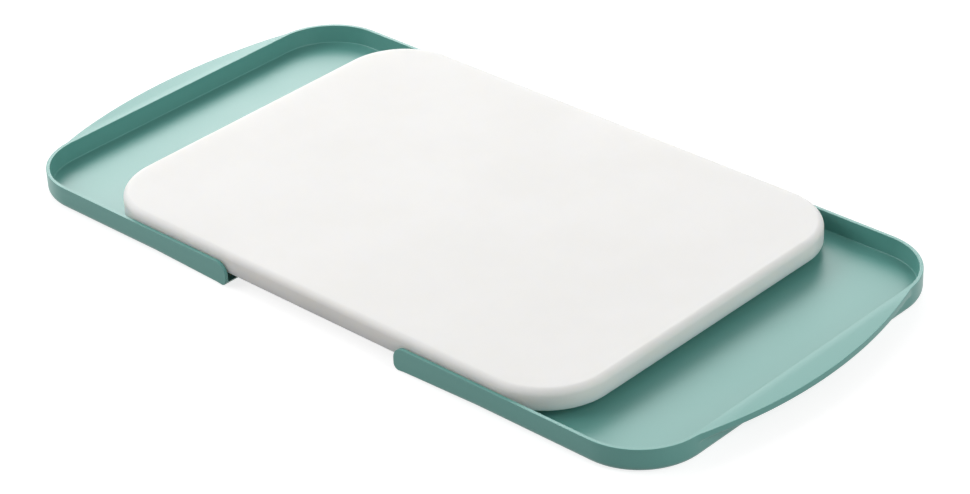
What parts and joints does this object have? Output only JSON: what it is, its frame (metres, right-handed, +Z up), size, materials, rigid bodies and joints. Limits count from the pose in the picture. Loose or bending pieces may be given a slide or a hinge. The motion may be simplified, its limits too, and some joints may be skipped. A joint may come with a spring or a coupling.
{
  "type": "cutting board with drawer trays",
  "caption": "Rounded cutting board carried on shallow drawer trays that slide out from under both ends, each with a low wall on three sides and a crescent handle lip.",
  "frame": {"origin": "on the worktop, under the middle of the board", "axes": "+X along the board's length, towards the right-hand tray's handle; +Y across the board, away from the user; +Z up"},
  "size_m": [0.5146, 0.2592, 0.0212],
  "materials": {
    "board_poly": "dense white polyethylene, faintly mottled and satin",
    "tray_plastic": "moulded seafoam polypropylene with a fine satin grain",
    "rail_plastic": "plain extruded white plastic",
    "foot_rubber": "soft pale grey non-slip rubber",
    "screw_steel": "plain stainless"
  },
  "bodies": {
    "board": {"board": "board_poly", "front_guide_rail": "rail_plastic", "back_guide_rail": "rail_plastic", "front_rail_screws": "screw_steel", "back_rail_screws": "screw_steel"},
    "right_tray": {"right_tray": "tray_plastic", "right_tray_foot_1": "foot_rubber", "right_tray_foot_2": "foot_rubber", "right_tray_foot_3": "foot_rubber", "right_tray_foot_4": "foot_rubber"},
    "left_tray": {"left_tray": "tray_plastic", "left_tray_foot_1": "foot_rubber", "left_tray_foot_2": "foot_rubber", "left_tray_foot_3": "foot_rubber", "left_tray_foot_4": "foot_rubber"}
  },
  "joints": [
    {"name": "right_tray_slide", "type": "slide", "parent": "board", "child": "right_tray", "axis": [-1, 0, 0], "range_m": [0, 0.0617]},
    {"name": "left_tray_slide", "type": "slide", "parent": "board", "child": "left_tray", "axis": [1, 0, 0], "range_m": [0, 0.0617]}
  ]
}
